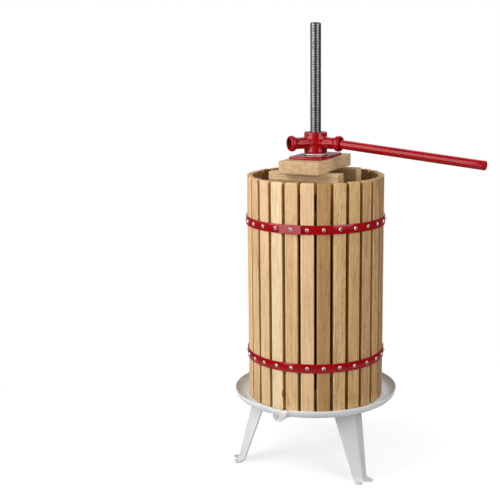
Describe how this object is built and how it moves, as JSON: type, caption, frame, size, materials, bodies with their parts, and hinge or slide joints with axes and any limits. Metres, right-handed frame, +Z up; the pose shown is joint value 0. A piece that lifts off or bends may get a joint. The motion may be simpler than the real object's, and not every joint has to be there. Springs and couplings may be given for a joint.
{
  "type": "fruit press",
  "caption": "Basket press for fruit: slatted wooden basket in a legged steel tray with a pouring lip, pressed by a handled nut that turns down a fixed threaded spindle onto wooden blocks.",
  "frame": {"origin": "on the spindle's axis at floor level, in the plane that the foot tabs stand on", "axes": "+Z up along the spindle; -Y towards the pouring lip; +X to the right seen from the lip's side"},
  "size_m": [0.5379, 0.3554, 0.91],
  "materials": {
    "stave_wood": "planed hardwood, uncoated, fine upright grain",
    "press_wood": "planed hardwood, uncoated",
    "red_paint": "glossy red enamel",
    "red_casting": "glossy red enamel over a casting",
    "white_coat": "satin white powder coat",
    "spindle_steel": "rolled thread, bare steel",
    "bright_screw": "bright zinc",
    "zinc_steel": "dull zinc"
  },
  "bodies": {
    "base": {"tray": "white_coat", "leg_left": "white_coat", "leg_right": "white_coat", "leg_rear": "white_coat", "leg_bolts": "zinc_steel", "leg_nuts": "zinc_steel", "spindle": "spindle_steel", "spindle_collar": "zinc_steel", "stiffener_plate": "zinc_steel", "spindle_washer": "zinc_steel", "spindle_nut": "zinc_steel"},
    "basket": {"stave_01": "stave_wood", "stave_02": "stave_wood", "stave_03": "stave_wood", "stave_04": "stave_wood", "stave_05": "stave_wood", "stave_06": "stave_wood", "stave_07": "stave_wood", "stave_08": "stave_wood", "stave_09": "stave_wood", "stave_10": "stave_wood", "stave_11": "stave_wood", "stave_12": "stave_wood", "stave_13": "stave_wood", "stave_14": "stave_wood", "stave_15": "stave_wood", "stave_16": "stave_wood", "stave_17": "stave_wood", "stave_18": "stave_wood", "stave_19": "stave_wood", "stave_20": "stave_wood", "stave_21": "stave_wood", "stave_22": "stave_wood", "stave_23": "stave_wood", "stave_24": "stave_wood", "stave_25": "stave_wood", "stave_26": "stave_wood", "stave_27": "stave_wood", "hoop_upper": "red_paint", "hoop_lower": "red_paint", "hoop_screws_upper": "bright_screw", "hoop_screws_lower": "bright_screw"},
    "carriage": {"thrust_washer": "zinc_steel"},
    "press_stack": {"press_board_front": "press_wood", "press_board_rear": "press_wood", "lower_beam_left": "press_wood", "lower_beam_right": "press_wood", "upper_beam_front": "press_wood", "upper_beam_rear": "press_wood", "top_block": "press_wood", "thrust_plate": "red_paint", "plate_screws": "bright_screw"},
    "nut": {"press_nut": "red_casting"},
    "handle": {"handle_bar": "red_paint"}
  },
  "joints": [
    {"name": "nut_travel", "type": "slide", "parent": "base", "child": "carriage", "axis": [0, 0, 1], "range_m": [-0.02501, 0.19001]},
    {"name": "nut_spin", "type": "hinge", "parent": "carriage", "child": "nut", "pos_m": [0, 0, 0.6728], "axis": [0, 0, 1], "range_deg": [-1800, 13680]},
    {"name": "handle_pull", "type": "slide", "parent": "nut", "child": "handle", "axis": [0.9884, -0.1336, -0.0715], "range_m": [0, 0.045]},
    {"name": "stack_drop", "type": "slide", "parent": "carriage", "child": "press_stack", "axis": [0, 0, 1], "range_m": [-0.31, 0]},
    {"name": "basket_lift", "type": "slide", "parent": "base", "child": "basket", "axis": [0, 0, 1], "range_m": [0, 0.02]}
  ],
  "couplings": [
    {"joint": "nut_travel", "follows": "nut_spin", "m_per_rad": 0.00079577}
  ]
}
